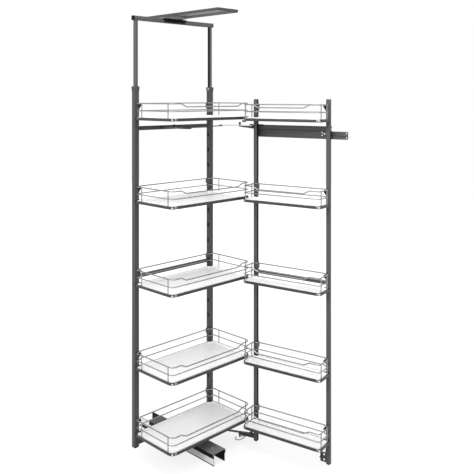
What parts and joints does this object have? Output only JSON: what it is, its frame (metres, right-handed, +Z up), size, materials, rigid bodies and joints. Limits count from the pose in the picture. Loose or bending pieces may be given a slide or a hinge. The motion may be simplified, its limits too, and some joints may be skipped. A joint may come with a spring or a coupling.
{
  "type": "pull out larder unit",
  "caption": "Tall cabinet fitting: a sliding inner frame of deep wire-and-tray baskets, linked to a swinging door frame of shallow ones.",
  "frame": {"origin": "centre line of the floor runner on the cabinet floor, level with the front faces of the inner posts", "axes": "+Z up, -Y out of the cabinet, +X to the hinge side when looked at from the front"},
  "size_m": [0.5292, 0.8106, 1.725],
  "materials": {
    "anthracite": "fine satin powder coat, mid anthracite grey",
    "dark_steel": "smooth satin powder coat, dark grey",
    "chrome_wire": "bright chromed wire",
    "zinc": "bright zinc plate",
    "white_tray": "satin white moulding",
    "black_plastic": "fine-grained nylon"
  },
  "bodies": {
    "floor_runner": {"runner_rail": "zinc", "glide_left": "black_plastic", "glide_right": "black_plastic"},
    "inner_frame": {"inner_rim_1": "dark_steel", "inner_rim_2": "dark_steel", "inner_rim_3": "dark_steel", "inner_rim_4": "dark_steel", "inner_rim_5": "dark_steel", "inner_tray_1": "white_tray", "inner_tray_2": "white_tray", "inner_tray_3": "white_tray", "inner_tray_4": "white_tray", "inner_tray_5": "white_tray", "inner_gallery_1": "chrome_wire", "inner_gallery_2": "chrome_wire", "inner_gallery_3": "chrome_wire", "inner_gallery_4": "chrome_wire", "inner_gallery_5": "chrome_wire", "inner_post_left": "anthracite", "inner_post_right": "anthracite", "inner_foot_left": "black_plastic", "inner_foot_right": "black_plastic", "collar_left": "black_plastic", "collar_right": "black_plastic", "inner_crossbar_lower": "anthracite", "inner_crossbar_upper": "anthracite", "runner_cover": "anthracite", "carriage_plate": "anthracite", "link_seat_upper": "anthracite"},
    "yoke": {"yoke_leg_left": "anthracite", "yoke_leg_right": "anthracite", "yoke_bar": "anthracite", "top_carriage": "black_plastic"},
    "top_track": {"top_track": "anthracite"},
    "links": {"link_lower": "dark_steel", "link_upper": "zinc"},
    "door_frame": {"door_rim_1": "dark_steel", "door_rim_2": "dark_steel", "door_rim_3": "dark_steel", "door_rim_4": "dark_steel", "door_rim_5": "dark_steel", "door_tray_1": "white_tray", "door_tray_2": "white_tray", "door_tray_3": "white_tray", "door_tray_4": "white_tray", "door_tray_5": "white_tray", "door_gallery_1": "chrome_wire", "door_gallery_2": "chrome_wire", "door_gallery_3": "chrome_wire", "door_gallery_4": "chrome_wire", "door_gallery_5": "chrome_wire", "door_post_left": "anthracite", "door_post_right": "anthracite", "door_foot_left": "black_plastic", "door_foot_right": "black_plastic", "door_crossbar": "anthracite", "door_foot_bracket": "dark_steel", "door_arm_lower": "dark_steel", "door_arm_upper": "dark_steel", "catch_wire": "zinc"}
  },
  "joints": [
    {"name": "frame_slide", "type": "slide", "parent": "floor_runner", "child": "inner_frame", "axis": [0, -1, 0], "range_m": [0, 0.2]},
    {"name": "yoke_height", "type": "slide", "parent": "inner_frame", "child": "yoke", "axis": [0, 0, 1], "range_m": [-0.1, 0.1]},
    {"name": "track_slide", "type": "slide", "parent": "yoke", "child": "top_track", "axis": [0, 1, 0], "range_m": [0, 0.2]},
    {"name": "link_turn", "type": "hinge", "parent": "inner_frame", "child": "links", "pos_m": [-0.062, -0.142, 0.05], "axis": [0, 0, 1], "range_deg": [-21, 0]},
    {"name": "door_swing", "type": "hinge", "parent": "links", "child": "door_frame", "pos_m": [0.212, -0.219, 0.03], "axis": [0, 0, 1], "range_deg": [-80.3, 0]}
  ],
  "couplings": [
    {"joint": "track_slide", "follows": "frame_slide", "ratio": 1},
    {"joint": "link_turn", "follows": "door_swing", "ratio": 0.2615}
  ]
}
